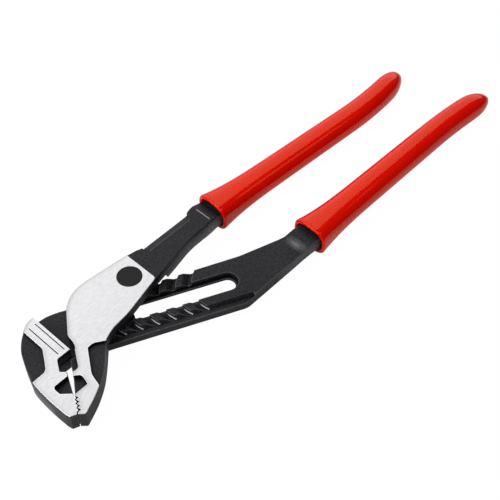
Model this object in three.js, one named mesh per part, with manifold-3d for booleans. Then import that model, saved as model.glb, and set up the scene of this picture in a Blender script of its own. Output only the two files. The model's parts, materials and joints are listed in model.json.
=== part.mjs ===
// Tongue-and-groove water pump pliers, lying flat and closed on a bench.
// The upper lever laps over the slotted arm of the lower lever and turns on a stud that slides in the slot.
// Millimetres. Plan points are measured from the pivot at its closed station. +X runs toward the handle ends
// and +Z runs up from the nut's back. The finished group is moved: its origin is the middle of its base.

import * as THREE from 'three';
import { mergeVertices } from 'three/addons/utils/BufferGeometryUtils.js';
import Module from 'manifold-3d';

const wasm = await Module();
wasm.setup();

// Clearances
const LAP_GAP = 0.15; // between flat faces that slide on each other
const FIT_GAP = 0.2; // round the stud, and beside the washer's guiding edges
const GRIP_GAP = 0.3; // between a tang and the sleeve over it
const SHOULDER_GAP = 1.6; // between the arm's lower edge and the upper jaw's shoulder
const WEB_GAP = 0.7; // between the web's edge and the upper jaw

// Pivot hardware
const STUD_DIAMETER = 7;
const THREAD_DIAMETER = 5.4;
const THREAD_RECESS = 0.4; // the stud's end stops this far inside the nut
const BORE_SKIN = 1.8; // steel over the blind end of the stud's bore
const WASHER_THICK = 0.8;
const WASHER_LENGTH = 18;
const WASHER_WIDTH = 15;
const WASHER_CORNER = 5;
const NUT_THICK = 2.4;
const NUT_ACROSS_FLATS = 11;
const NUT_CHAMFER = 0.5;

// Slotted arm: the slot, its stations and the grooves across it
const SLOT_ANGLE = THREE.MathUtils.degToRad(-26);
const SLOT_WIDTH = 10;
const SLOT_DEPTH = 2.8; // of the wide upper part of the slot, above its lip
const STATION_PITCH = 7.4;
const STATION_COUNT = 8;
const CHANNEL_DEPTH = 1.7; // washer channel in the arm's back
const GROOVE_RADIUS = 15.9; // of a groove's steep wall about its station
const GROOVE_FLOOR = 1.5;
const GROOVE_SLOPE = 2.6; // plan width of a groove's sloped wall
const GROOVE_DEPTH = 1.9;
const GROOVE_CLEAR = 0.3; // between the tongue's crest and a groove's floor
const GROOVE_START = 6; // a groove is cut only this far or further from its station toward the jaws
const TONGUE_FROM = THREE.MathUtils.degToRad(150);
const TONGUE_TO = THREE.MathUtils.degToRad(203);
const LEDGE_EDGE = 9.2; // lower edge of the grooved face, from the slot's middle line
const LEDGE_SLOPE = 1.2; // plan width of the slope from that edge down to the ledge
const LEDGE_END = 60.4; // along the slot
const ARM_LOWER = 12.9; // lower edge of the arm, from the slot's middle line
const ARM_UPPER = 10; // upper edge of the arm at the jaws, from the slot's middle line
const ARM_UPPER_SPREAD = 1.5; // how much further out the upper edge lies at the slot's far end

// Thicknesses
const ARM_THICK = 5.65;
const HUB_THICK = 5.2;
const JAW_THICK = 9.4;
const NECK_DROP = 0.3; // the neck's top lies this far under the bright face
const NECK_THICK = 8;
const PANEL_DEPTH = 1.2;
const POCKET_DEPTH = 2.1;
const THROAT_DEPTH = 3.2; // of the upper jaw's floor in the throat
const FACET_DEPTH = 1.4;

// Jaws
const HUB_RADIUS = 19.3;
const HUB_ARC_FROM = THREE.MathUtils.degToRad(84.6);
const HUB_ARC_TO = THREE.MathUtils.degToRad(142);
const FACE_END = 24; // the bright face stops here and the dark neck starts
const PARTING = { tip: [-43.95, -28.53], knee: [-39.31, -21.13] }; // where the closed jaws meet
const PARTING_GAP = 0.32;
const UPPER_CORNER = [-32.2, -11.9]; // where each jaw's edge meets the throat
const LOWER_CORNER = [-33.9, -10.4];
const TOOTH_PITCH = 1.9;
const TOOTH_DEPTH = 0.75; // of the lower jaw's ridges
const TOOTH_ROOT = 0.3; // how deep a ridge is set in its jaw
const NOTCH_DEPTH = 1.5; // of the upper jaw's notches, which the ridges reach into
const NOTCH_FLANK = 0.25; // how much further a notch's flank starts than a ridge's
const TOOTH_START = 1; // from the tip
const TIP_TEETH = 4;
const NICK_WIDTH = 0.7; // fine nicks between the throat and the pocket
const NICK_DEPTH = 0.5;
const NICK_START = 0.4; // from the throat
const NICK_PITCH = 0.9;
const NICKS = 2;
const EDGE_EASE = 0.3; // rounding along the edges of the hub and the jaws

// Handles: tang, dipped grip, where each grip's rim lies and how far its end curves outward
const TANG_WIDTH = 9.2;
const TANG_THICK = 6.4;
const TANG_LENGTH = 78; // inside the grip
const COLLAR_NECK = 12; // width of the neck where it enters the collar
const NECK_INSIDE = 6.5; // how far the neck's full width runs into the collar
const GRIP_AXIS = 5.85; // height of the handles' middle line over the nut's back
const UPPER_GRIP_LENGTH = 136;
const LOWER_GRIP_LENGTH = 133.3;
const COLLAR_WIDTH = 19.6;
const COLLAR_THICK = 14.8;
const COLLAR_LENGTH = 40; // the collar's flare runs out over this length
const FLARE = 3; // exponent of the flare: the more, the closer it keeps to the rim
const BODY_WIDTH = 15.2; // of the grip behind the flare
const BODY_THICK = 11.2;
const END_WIDTH = 12.6; // of the grip before its round end
const END_LENGTH = 13.6;
const RIM_ROUND = 1.3;
const BEND_START = 92; // a grip curves outward from here to its end
const MOUTH_WALL = 2; // of the collar round its mouth
const MOUTH_DEPTH = 8;
const OVAL = 2.5; // exponent of the grip's section: 2 is an ellipse, more is squarer
const UPPER_TURN = THREE.MathUtils.degToRad(-3.9);
const LOWER_TURN = THREE.MathUtils.degToRad(-0.65);
const UPPER_RIM = { at: [71.4, 11.4], turn: UPPER_TURN, bend: 5.3, length: UPPER_GRIP_LENGTH };
const LOWER_RIM = { at: [90.9, -31.3], turn: LOWER_TURN, bend: -3.2, length: LOWER_GRIP_LENGTH };

// Fineness of the curved surfaces
const CURVE_STEPS = 6;
const EASE_STEPS = 2;
const ROUND_SIDES = 72;
const GRIP_SIDES = 28;
const RIM_STEPS = 3;
const BODY_STEPS = 14;
const END_STEPS = 6;
const MERGE = 1e-4;
const PAST = 1; // how far a cutting solid runs past the face that it cuts

// Heights, from the nut's back up
const WASHER_BOTTOM = NUT_THICK + LAP_GAP;
const WASHER_TOP = WASHER_BOTTOM + WASHER_THICK;
const CHANNEL_ROOF = WASHER_TOP + LAP_GAP;
const ARM_BOTTOM = CHANNEL_ROOF - CHANNEL_DEPTH;
const ARM_TOP = ARM_BOTTOM + ARM_THICK;
const GROOVE_BOTTOM = ARM_TOP - GROOVE_DEPTH;
const LAP = ARM_TOP + LAP_GAP;
const FACE = LAP + HUB_THICK;
const JAW_BOTTOM = FACE - JAW_THICK;
const NECK_TOP = FACE - NECK_DROP;
const NECK_BOTTOM = NECK_TOP - NECK_THICK;
const TANG_BOTTOM = GRIP_AXIS - TANG_THICK / 2;
const TANG_TOP = GRIP_AXIS + TANG_THICK / 2;

// Derived plan sizes
const STUD_RADIUS = STUD_DIAMETER / 2;
const SLOT_END = STATION_PITCH * (STATION_COUNT - 1);
const LIP_WIDTH = STUD_DIAMETER + 2 * FIT_GAP;
const CHANNEL_WIDTH = WASHER_WIDTH + 2 * FIT_GAP;
const SHOULDER = ARM_LOWER + SHOULDER_GAP;

// Solids

// A closed surface as a solid that can be joined and cut.
function toSolid(geometry) {
  geometry.deleteAttribute('normal');
  geometry.deleteAttribute('uv');
  const merged = mergeVertices(geometry, MERGE);
  const corners = merged.index.array;
  const triVerts = [];
  for (let i = 0; i < corners.length; i += 3) {
    const [a, b, c] = [corners[i], corners[i + 1], corners[i + 2]];
    if (a !== b && b !== c && c !== a) {
      triVerts.push(a, b, c);
    }
  }
  const vertProperties = merged.attributes.position.array;
  const mesh = new wasm.Mesh({ numProp: 3, vertProperties, triVerts: Uint32Array.from(triVerts) });
  return new wasm.Manifold(mesh);
}

// A joined and cut solid as a plain geometry.
function toGeometry(solid) {
  const { vertProperties, triVerts } = solid.getMesh();
  const geometry = new THREE.BufferGeometry();
  geometry.setAttribute('position', new THREE.BufferAttribute(vertProperties, 3));
  geometry.setIndex(new THREE.BufferAttribute(triVerts, 1));
  const flat = geometry.toNonIndexed();
  flat.computeVertexNormals();
  return flat;
}

// The point at a distance along the slot from the closed station, and across it from its middle line.
function slotPoint(along, across, round = 0) {
  const point = new THREE.Vector2(along, across).rotateAround(new THREE.Vector2(), SLOT_ANGLE);
  return [point.x, point.y, round];
}

// A closed outline through corners [x, y, round], where round is how far a corner's curve is set back.
function outline(corners) {
  const shape = new THREE.Shape();
  const points = corners.map(([x, y]) => new THREE.Vector2(x, y));
  points.forEach((corner, i) => {
    const before = points[(i + points.length - 1) % points.length];
    const after = points[(i + 1) % points.length];
    const room = Math.min(corner.distanceTo(before), corner.distanceTo(after)) / 2;
    const round = Math.min(corners[i][2] ?? 0, room);
    const start = corner.clone().add(before.clone().sub(corner).setLength(round));
    const end = corner.clone().add(after.clone().sub(corner).setLength(round));
    if (i === 0) {
      shape.moveTo(start.x, start.y);
    } else {
      shape.lineTo(start.x, start.y);
    }
    if (round > 0) {
      shape.quadraticCurveTo(corner.x, corner.y, end.x, end.y);
    }
  });
  shape.closePath();
  return shape;
}

// An outline extruded from one height to another, turned about the pivot where it is drawn along the slot.
function plate(shape, bottom, top, turn = 0) {
  const options = { depth: top - bottom, bevelEnabled: false, curveSegments: CURVE_STEPS };
  const geometry = new THREE.ExtrudeGeometry(shape, options);
  geometry.translate(0, 0, bottom);
  geometry.rotateZ(turn);
  return toSolid(geometry);
}

// A plate with rounded edges.
function eased(shape, bottom, top) {
  const geometry = new THREE.ExtrudeGeometry(shape, {
    depth: top - bottom - 2 * EDGE_EASE,
    bevelThickness: EDGE_EASE,
    bevelSize: EDGE_EASE,
    bevelOffset: -EDGE_EASE,
    bevelSegments: EASE_STEPS,
    curveSegments: CURVE_STEPS,
  });
  geometry.translate(0, 0, bottom + EDGE_EASE);
  return toSolid(geometry);
}

// A side view [x, height] extruded across the whole width of a lever.
function sideView(points) {
  const reach = UPPER_GRIP_LENGTH;
  const geometry = new THREE.ExtrudeGeometry(outline(points), { depth: 2 * reach, bevelEnabled: false });
  geometry.rotateX(Math.PI / 2);
  geometry.translate(0, reach, 0);
  return toSolid(geometry);
}

// A turned solid about a vertical axis. Its section [radius, height] runs anticlockwise.
function turned(section, at = [0, 0], sides = ROUND_SIDES) {
  const profile = section.map(([radius, height]) => new THREE.Vector2(radius, height));
  const geometry = new THREE.LatheGeometry(profile, sides);
  geometry.rotateX(Math.PI / 2);
  geometry.translate(at[0], at[1], 0);
  return toSolid(geometry);
}

function rod(radius, bottom, top, at) {
  return turned([[0, bottom], [radius, bottom], [radius, top], [0, top]], at);
}

function join(solids) {
  return solids.reduce((whole, solid) => whole.add(solid));
}

function cut(solid, cutters) {
  return cutters.reduce((left, cutter) => left.subtract(cutter), solid);
}

// The point at a distance along the parting line from the tip, and across it toward the upper jaw.
function partingPoint(run, across) {
  const tip = new THREE.Vector2(...PARTING.tip);
  const along = new THREE.Vector2(...PARTING.knee).sub(tip).normalize();
  const toUpper = new THREE.Vector2(along.y, -along.x);
  return tip.addScaledVector(along, run).addScaledVector(toUpper, across).toArray();
}

const PARTING_LENGTH = new THREE.Vector2(...PARTING.knee).distanceTo(new THREE.Vector2(...PARTING.tip));
const UPPER_TIP = partingPoint(0, PARTING_GAP / 2);
const UPPER_KNEE = partingPoint(PARTING_LENGTH, PARTING_GAP / 2);
const LOWER_TIP = partingPoint(0, -PARTING_GAP / 2);
const LOWER_KNEE = partingPoint(PARTING_LENGTH, -PARTING_GAP / 2);

// A row of three-cornered teeth along the parting line, from a base line to the apex. Half is the half width
// at the base.
function toothRow(base, apex, half, bottom, top) {
  const row = [];
  for (let i = 0; i < TIP_TEETH; i += 1) {
    const middle = TOOTH_START + (i + 1 / 2) * TOOTH_PITCH;
    const foot = [partingPoint(middle - half, base), partingPoint(middle + half, base)];
    row.push(plate(outline([foot[0], partingPoint(middle, apex), foot[1]]), bottom, top));
  }
  return row;
}

// Ridges on the lower jaw, and the notches in the upper jaw that they close into.
function ridges() {
  const base = -PARTING_GAP / 2 - TOOTH_ROOT;
  const half = (TOOTH_PITCH / 2) * ((TOOTH_DEPTH + TOOTH_ROOT) / TOOTH_DEPTH);
  return toothRow(base, TOOTH_DEPTH - PARTING_GAP / 2, half, JAW_BOTTOM, FACE);
}

function notches() {
  const apex = PARTING_GAP / 2 + NOTCH_DEPTH;
  return toothRow(0, apex, TOOTH_PITCH / 2 + NOTCH_FLANK, JAW_BOTTOM - PAST, FACE + PAST);
}

// Fine nicks in a jaw's edge beside the throat. Side says on which hand the steel lies.
function nicks(corner, knee, side) {
  const start = new THREE.Vector2(...corner);
  const along = new THREE.Vector2(...knee).sub(start).normalize();
  const inward = new THREE.Vector2(-along.y, along.x).multiplyScalar(side);
  const at = (run, depth) => {
    const point = start.clone().addScaledVector(along, run);
    return point.addScaledVector(inward, depth).toArray();
  };
  const cuts = [];
  for (let i = 0; i < NICKS; i += 1) {
    const run = NICK_START + i * NICK_PITCH;
    const mouth = [at(run, -NICK_DEPTH), at(run, 0), at(run + NICK_WIDTH / 2, NICK_DEPTH)];
    const back = [at(run + NICK_WIDTH, 0), at(run + NICK_WIDTH, -NICK_DEPTH)];
    cuts.push(plate(outline([...mouth, ...back]), JAW_BOTTOM - PAST, FACE + PAST));
  }
  return cuts;
}

// Handle parts

// The plan point at a distance along a handle from its grip's rim, and across it.
function handlePoint(rim, along, across, round = 0) {
  const point = new THREE.Vector2(along, across).rotateAround(new THREE.Vector2(), rim.turn);
  return [rim.at[0] + point.x, rim.at[1] + point.y, round];
}

// A closed skin over oval sections { run, width, thick, shift } set along a handle.
function loft(sections, rim) {
  const positions = [];
  const index = [];
  const ring = (i, k) => i * GRIP_SIDES + (k % GRIP_SIDES);
  sections.forEach(({ run, width, thick, shift }) => {
    for (let k = 0; k < GRIP_SIDES; k += 1) {
      const angle = (2 * Math.PI * k) / GRIP_SIDES;
      const oval = (value) => Math.sign(value) * Math.abs(value) ** (2 / OVAL);
      const across = shift + (width / 2) * oval(Math.cos(angle));
      const [x, y] = handlePoint(rim, run, across);
      positions.push(x, y, GRIP_AXIS + (thick / 2) * oval(Math.sin(angle)));
    }
  });
  for (let i = 0; i + 1 < sections.length; i += 1) {
    for (let k = 0; k < GRIP_SIDES; k += 1) {
      index.push(ring(i, k), ring(i + 1, k + 1), ring(i + 1, k));
      index.push(ring(i, k), ring(i, k + 1), ring(i + 1, k + 1));
    }
  }
  const last = sections.length - 1;
  for (let k = 1; k + 1 < GRIP_SIDES; k += 1) {
    index.push(ring(0, 0), ring(0, k + 1), ring(0, k));
    index.push(ring(last, 0), ring(last, k), ring(last, k + 1));
  }
  const geometry = new THREE.BufferGeometry();
  geometry.setAttribute('position', new THREE.Float32BufferAttribute(positions, 3));
  geometry.setIndex(index);
  return toSolid(geometry);
}

// Section of the grip at a distance from its rim: a flared collar, a slight taper and a round end.
function gripSection(run, { bend, length }) {
  const flare = Math.max(0, 1 - run / COLLAR_LENGTH) ** FLARE;
  const taper = (run / length) * (BODY_WIDTH - END_WIDTH);
  const into = Math.max(0, (run - length + END_LENGTH) / END_LENGTH);
  const dome = Math.sqrt(Math.max(0, 1 - into ** 2));
  const lip = Math.max(0, RIM_ROUND - run);
  const roll = RIM_ROUND - Math.sqrt(RIM_ROUND ** 2 - lip ** 2);
  const width = BODY_WIDTH - taper + (COLLAR_WIDTH - BODY_WIDTH) * flare;
  const thick = BODY_THICK + (COLLAR_THICK - BODY_THICK) * flare;
  const shift = bend * Math.max(0, (run - BEND_START) / (length - BEND_START)) ** 2;
  return { run, width: width * dome - 2 * roll, thick: thick * dome - 2 * roll, shift };
}

// Distances from the rim at which a grip's sections are set, closer together where the skin curves.
function gripRuns(length) {
  const runs = [];
  const domeStart = length - END_LENGTH;
  for (let i = 0; i < RIM_STEPS; i += 1) {
    runs.push(RIM_ROUND * (1 - Math.cos((Math.PI / 2) * (i / RIM_STEPS))));
  }
  for (let i = 0; i < BODY_STEPS; i += 1) {
    runs.push(THREE.MathUtils.lerp(RIM_ROUND, domeStart, i / BODY_STEPS));
  }
  for (let i = 0; i < END_STEPS; i += 1) {
    runs.push(domeStart + END_LENGTH * Math.sin((Math.PI / 2) * (i / END_STEPS)));
  }
  return runs;
}

// Tang plan, widened by a gap for the space that it fills in the grip.
function tangOutline(rim, gap) {
  const half = TANG_WIDTH / 2 + gap;
  const end = TANG_LENGTH + gap;
  return outline([
    handlePoint(rim, 0, -half),
    handlePoint(rim, end, -half, half / 2),
    handlePoint(rim, end, half, half / 2),
    handlePoint(rim, 0, half),
  ]);
}

function tang(rim) {
  return plate(tangOutline(rim, 0), TANG_BOTTOM, TANG_TOP);
}

function grip(rim) {
  const skin = loft(gripRuns(rim.length).map((run) => gripSection(run, rim)), rim);
  const mouth = (run, shrink) => ({
    run,
    width: COLLAR_WIDTH - 2 * MOUTH_WALL - shrink,
    thick: COLLAR_THICK - 2 * MOUTH_WALL - shrink,
    shift: 0,
  });
  const hollow = loft([mouth(-PAST, 0), mouth(MOUTH_DEPTH / 2, 0), mouth(MOUTH_DEPTH, GRIP_GAP)], rim);
  const socket = plate(tangOutline(rim, GRIP_GAP), TANG_BOTTOM - GRIP_GAP, TANG_TOP + GRIP_GAP);
  return cut(skin, [hollow, socket]);
}

// Upper lever

// Plan of the upper lever. Its hub is round about the pivot, between two straight edges.
const HUB_TURN = (HUB_ARC_TO - HUB_ARC_FROM) / 2;
const HUB_MIDDLE = (HUB_ARC_TO + HUB_ARC_FROM) / 2;
const UPPER_JAW_BACK = [[-41.7, -30.8, 0.6], [-33, -27.1, 4], [-25, -22.2, 4], [-18.8, -16.6, 3]];
const UPPER_THROAT = [[-29.6, -12.3, 1.6], [...UPPER_CORNER, 0.4]];
const HUB_LEFT = [[-22.15, 3, 1.2], [-22.8, -1.9, 1.5]];
const HUB_LOWER = [[-7, -8, 4], [2.6, -7, 3], [FACE_END, -1.7, 1.4]];
const SHOULDER_FROM = -6.6; // along the slot
const SHOULDER_TO = -20.2;
const JAW_CORNER = slotPoint(SHOULDER_FROM, -SHOULDER);
const SHOULDER_END = slotPoint(SHOULDER_TO, -SHOULDER);

function hubTop(x) {
  return (HUB_RADIUS - x * Math.cos(HUB_ARC_FROM)) / Math.sin(HUB_ARC_FROM);
}

function upperFace() {
  const reach = HUB_RADIUS / Math.cos(HUB_TURN);
  const hub = [reach * Math.cos(HUB_MIDDLE), reach * Math.sin(HUB_MIDDLE), HUB_RADIUS * Math.tan(HUB_TURN)];
  return outline([
    [FACE_END, hubTop(FACE_END), 0.8],
    hub,
    ...HUB_LEFT,
    ...UPPER_THROAT,
    UPPER_KNEE,
    UPPER_TIP,
    ...UPPER_JAW_BACK,
    JAW_CORNER,
    ...HUB_LOWER,
  ]);
}

// The upper jaw's floor in the throat, which runs on to the parting of the jaws.
const UPPER_FLOOR = [UPPER_CORNER, [-30.9, -9.5], [-28.2, -5.2], [-24, -5.6], [-28, -13.5]];

function upperJawBlock() {
  return outline([JAW_CORNER, SHOULDER_END, ...UPPER_THROAT, UPPER_KNEE, UPPER_TIP, ...UPPER_JAW_BACK]);
}

const UPPER_PANEL = [
  [-11, -14],
  [-12.6, -10.6],
  [-17.3, -7.6, 0.9],
  [-20.4, -7.6, 0.9],
  [-27.9, -18.5, 1.5],
  [-29.4, -25, 0.5],
  [-27, -34],
];
const UPPER_POCKET = [
  [-33.4, -13.7],
  [-31.1, -15.6, 0.5],
  [-31.1, -17.2, 0.4],
  [-32, -20.8, 0.6],
  [-38.9, -20.8],
  [-41, -19],
  [-36, -11.5],
];

// Neck of the upper lever: its plan, and its side view with the lap under it and the drop to the tang.
const UPPER_NECK_TOP = [[28.8, 15.9, 1], [30.8, 15, 1], [59, 15, 1], [61, 15.9, 1]];
const UPPER_NECK_LOWER = [[60, 3.6, 5], [50, 3.6, 5], [36, 0.5, 6]];
const NECK_LAP = 2; // how far the neck runs into the hub
const NECK_START = FACE_END - NECK_LAP;
const NECK_ROOT = -2.2; // where the neck's lower edge leaves the hub, across the tool
const LAP_END = 31; // the neck deepens here, clear of the arm at every station
const LAP_RAMP = 1;
const RIDGE = 64.2; // the neck's top turns down to the tang here
const UNDER_RIDGE = 58;
const FACET = [[30.8, 20], [31.4, 13.6, 1.5], [33.4, 11.4, 2], [57, 11.4, 2], [59.2, 13.6, 1.5], [59.8, 20]];
const FACET_INNER = 11.4;
const FACET_OUTER = 15;

function upperNeckPlan() {
  const half = COLLAR_NECK / 2;
  return outline([
    [NECK_START, hubTop(NECK_START) - NECK_DROP],
    ...UPPER_NECK_TOP,
    handlePoint(UPPER_RIM, 0, half, 1),
    handlePoint(UPPER_RIM, NECK_INSIDE, half),
    handlePoint(UPPER_RIM, NECK_INSIDE, -half),
    handlePoint(UPPER_RIM, 0, -half, 1),
    ...UPPER_NECK_LOWER,
    [NECK_START, NECK_ROOT],
  ]);
}

function upperNeckSide() {
  const [rimX] = UPPER_RIM.at;
  const end = rimX + 2 * NECK_INSIDE;
  return [
    [NECK_START, LAP],
    [LAP_END, LAP],
    [LAP_END + LAP_RAMP, NECK_BOTTOM],
    [UNDER_RIDGE, NECK_BOTTOM],
    [rimX, TANG_BOTTOM],
    [end, TANG_BOTTOM],
    [end, TANG_TOP],
    [rimX, TANG_TOP],
    [RIDGE, NECK_TOP],
    [NECK_START, NECK_TOP],
  ];
}

// A long facet along the neck's outer edge: it starts at the top face and falls toward the edge.
function neckFacet() {
  const wedge = new THREE.Shape();
  const slope = FACET_DEPTH / (FACET_OUTER - FACET_INNER);
  const far = FACET_OUTER + PAST;
  wedge.moveTo(FACET_INNER, NECK_TOP);
  wedge.lineTo(far, NECK_TOP - slope * (far - FACET_INNER));
  wedge.lineTo(far, NECK_TOP + PAST);
  wedge.lineTo(FACET_INNER, NECK_TOP + PAST);
  const geometry = new THREE.ExtrudeGeometry(wedge, { depth: RIDGE, bevelEnabled: false });
  geometry.rotateX(Math.PI / 2);
  geometry.rotateZ(Math.PI / 2);
  return toSolid(geometry).intersect(plate(outline(FACET), NECK_TOP - FACET_DEPTH - PAST, NECK_TOP + PAST));
}

// The tongue: a curved rib on the lap, round about the pivot, that fits any one groove.
function tongue() {
  const crest = GROOVE_BOTTOM + GROOVE_CLEAR;
  const slope = GROOVE_SLOPE / GROOVE_DEPTH;
  const inner = GROOVE_RADIUS + FIT_GAP;
  const outer = GROOVE_RADIUS + GROOVE_FLOOR - FIT_GAP;
  const root = LAP + PAST;
  const rib = turned([
    [inner, crest],
    [outer, crest],
    [outer + slope * (LAP - crest), LAP],
    [outer + slope * (LAP - crest), root],
    [inner, root],
    [inner, crest],
  ]);
  const wedge = new THREE.Shape();
  wedge.moveTo(0, 0);
  wedge.absarc(0, 0, 2 * HUB_RADIUS, TONGUE_FROM, TONGUE_TO, false);
  wedge.closePath();
  return rib.intersect(plate(wedge, crest - PAST, root + PAST));
}

function upperLever() {
  const steel = join([
    eased(upperFace(), LAP, FACE),
    eased(upperJawBlock(), JAW_BOTTOM, FACE),
    plate(outline(UPPER_FLOOR), JAW_BOTTOM, FACE - THROAT_DEPTH),
    plate(upperNeckPlan(), 0, FACE).intersect(sideView(upperNeckSide())),
    tang(UPPER_RIM),
    tongue(),
  ]);
  return cut(steel, [
    rod(STUD_RADIUS + FIT_GAP, LAP - PAST, FACE - BORE_SKIN),
    plate(outline(UPPER_PANEL), FACE - PANEL_DEPTH, FACE + PAST),
    plate(outline(UPPER_POCKET), FACE - POCKET_DEPTH, FACE + PAST),
    neckFacet(),
    ...notches(),
    ...nicks(UPPER_CORNER, UPPER_KNEE, 1),
  ]);
}

// Lower lever

const LOWER_JAW_BACK = [
  [-29.4, 20.4],
  [-33, 18.4],
  [-36.9, 15.2],
  [-40.4, 10.9],
  [-42.9, 5.7],
  [-45, 0.4],
  [-46.9, -5],
  [-47.6, -15],
  [-47.4, -25],
];
const LOWER_NOSE = [-46.9, -27.3];
const BAND_SIDE = -25.8; // the full jaw's side toward the hub
const BAND_END = -3; // lower end of the bright band
const BAND_TOP = 20.9;
const LOWER_THROAT = [[-35.9, -8.2], [-33.1, -3.6], [-32.3, BAND_END]];

function lowerJaw() {
  const shape = new THREE.Shape();
  shape.moveTo(BAND_SIDE, BAND_END);
  shape.lineTo(BAND_SIDE, BAND_TOP);
  shape.splineThru(LOWER_JAW_BACK.map((point) => new THREE.Vector2(...point)));
  shape.lineTo(...LOWER_NOSE);
  shape.lineTo(...LOWER_TIP);
  shape.lineTo(...LOWER_KNEE);
  shape.lineTo(...LOWER_CORNER);
  LOWER_THROAT.forEach((point) => shape.lineTo(...point));
  shape.closePath();
  return shape;
}

const LOWER_PANEL = [
  [-33.4, 30],
  [-33.4, 5.6, 1.2],
  [-38.9, -3, 1.4],
  [-40.4, -4, 0.6],
  [-52, -4.3],
  [-52, 30],
];
const LOWER_POCKET = [
  [-33, -12.1],
  [-42, -12.1, 0.8],
  [-42.8, -13.3, 0.5],
  [-42.8, -16.3, 0.5],
  [-38.4, -20.7],
  [-34, -17],
];

// Plan of the arm: a web under the hub that carries the jaw, the two slotted rails, and the neck.
const WEB_LEFT = [[-36, -5], [-34, 10], [-31, 18.6]];
const WEB_TOP = [[BAND_SIDE, BAND_TOP, 1], [-20.3, 20.5, 2], [-15.3, 18.7, 2]];
const ARM_START = -18.6; // along the slot, where the arm's upper edge leaves the jaw
const THROAT_WALL = -3.6; // the web ends here, beside the throat
const NECK_BLOCK = 78; // the neck's side view takes over from here
const LOWER_NECK_UPPER = [81, -23.6, 3];
const LOWER_NECK_LOWER = [81, -36.4, 3];
const ARM_HEEL = slotPoint(56.6, -ARM_LOWER, 2);

// The web's edge beside the throat keeps clear of the upper jaw's shoulder.
function throatWall() {
  const [x, y] = SHOULDER_END;
  const [[deepX, deepY]] = UPPER_THROAT;
  const side = new THREE.Vector2(deepX - x, deepY - y).normalize();
  return [
    [x + side.y * WEB_GAP, y - side.x * WEB_GAP],
    [x - 2 * WEB_GAP, THROAT_WALL],
    [LOWER_CORNER[0], THROAT_WALL],
  ];
}

function armPlan() {
  return outline([
    ...WEB_TOP.slice().reverse(),
    ...WEB_LEFT.slice().reverse(),
    ...throatWall().reverse(),
    slotPoint(SHOULDER_TO, -ARM_LOWER),
    ARM_HEEL,
    LOWER_NECK_LOWER,
    handlePoint(LOWER_RIM, 0, -COLLAR_NECK / 2, 1),
    handlePoint(LOWER_RIM, NECK_INSIDE, -COLLAR_NECK / 2),
    handlePoint(LOWER_RIM, NECK_INSIDE, COLLAR_NECK / 2),
    handlePoint(LOWER_RIM, 0, COLLAR_NECK / 2, 1),
    LOWER_NECK_UPPER,
    slotPoint(SLOT_END + SLOT_WIDTH, ARM_UPPER + ARM_UPPER_SPREAD, 2),
    slotPoint(ARM_START, ARM_UPPER),
  ]);
}

// Side view of the whole arm and neck, with the ramp up to the tang.
const RAMP_START = 83;
const RAMP_END = 87.6;

function armSide() {
  const [rimX] = LOWER_RIM.at;
  const start = WEB_LEFT[0][0] - PAST;
  const end = rimX + 2 * NECK_INSIDE;
  return [
    [start, ARM_BOTTOM],
    [NECK_BLOCK, ARM_BOTTOM],
    [RAMP_END, TANG_BOTTOM],
    [end, TANG_BOTTOM],
    [end, TANG_TOP],
    [RAMP_END, TANG_TOP],
    [RAMP_START, ARM_TOP],
    [start, ARM_TOP],
  ];
}

// A round-ended slot along the stations.
function slotShape(width, past) {
  const half = width / 2;
  const shape = new THREE.Shape();
  shape.moveTo(-past, -half);
  shape.lineTo(SLOT_END + past, -half);
  shape.absarc(SLOT_END + past, 0, half, -Math.PI / 2, Math.PI / 2, false);
  shape.lineTo(-past, half);
  shape.absarc(-past, 0, half, Math.PI / 2, (3 * Math.PI) / 2, false);
  return shape;
}

function washerChannel() {
  const half = CHANNEL_WIDTH / 2;
  const reach = WASHER_LENGTH / 2 + FIT_GAP;
  const round = WASHER_CORNER;
  return outline([
    [-reach, -half, round],
    [SLOT_END + reach, -half, round],
    [SLOT_END + reach, half, round],
    [-reach, half, round],
  ]);
}

// One curved groove across both rails, round about its station.
function groove(station) {
  const at = slotPoint(station * STATION_PITCH, 0);
  const ring = turned([
    [GROOVE_RADIUS, GROOVE_BOTTOM],
    [GROOVE_RADIUS + GROOVE_FLOOR, GROOVE_BOTTOM],
    [GROOVE_RADIUS + GROOVE_FLOOR + GROOVE_SLOPE, ARM_TOP],
    [GROOVE_RADIUS + GROOVE_FLOOR + GROOVE_SLOPE, ARM_TOP + PAST / 2],
    [GROOVE_RADIUS, ARM_TOP + PAST / 2],
    [GROOVE_RADIUS, GROOVE_BOTTOM],
  ], at);
  const reach = 2 * HUB_RADIUS;
  const from = station * STATION_PITCH - GROOVE_START;
  const side = outline([[from - reach, -reach], [from, -reach], [from, reach], [from - reach, reach]]);
  return ring.intersect(plate(side, GROOVE_BOTTOM - PAST, ARM_TOP + PAST, SLOT_ANGLE));
}

// The ledge at groove depth along the lower rail, where the tongue runs free when the handles are wide open.
function ledge() {
  const outer = ARM_LOWER + SHOULDER;
  const section = new THREE.Shape();
  section.moveTo(LEDGE_EDGE, ARM_TOP + PAST);
  section.lineTo(LEDGE_EDGE, ARM_TOP);
  section.lineTo(LEDGE_EDGE + LEDGE_SLOPE, GROOVE_BOTTOM);
  section.lineTo(outer, GROOVE_BOTTOM);
  section.lineTo(outer, ARM_TOP + PAST);
  section.closePath();
  const options = { depth: LEDGE_END + GROOVE_RADIUS, bevelEnabled: false };
  const geometry = new THREE.ExtrudeGeometry(section, options);
  geometry.rotateX(Math.PI / 2);
  geometry.rotateZ(-Math.PI / 2);
  geometry.translate(LEDGE_END, 0, 0);
  geometry.rotateZ(SLOT_ANGLE);
  return toSolid(geometry);
}

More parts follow.
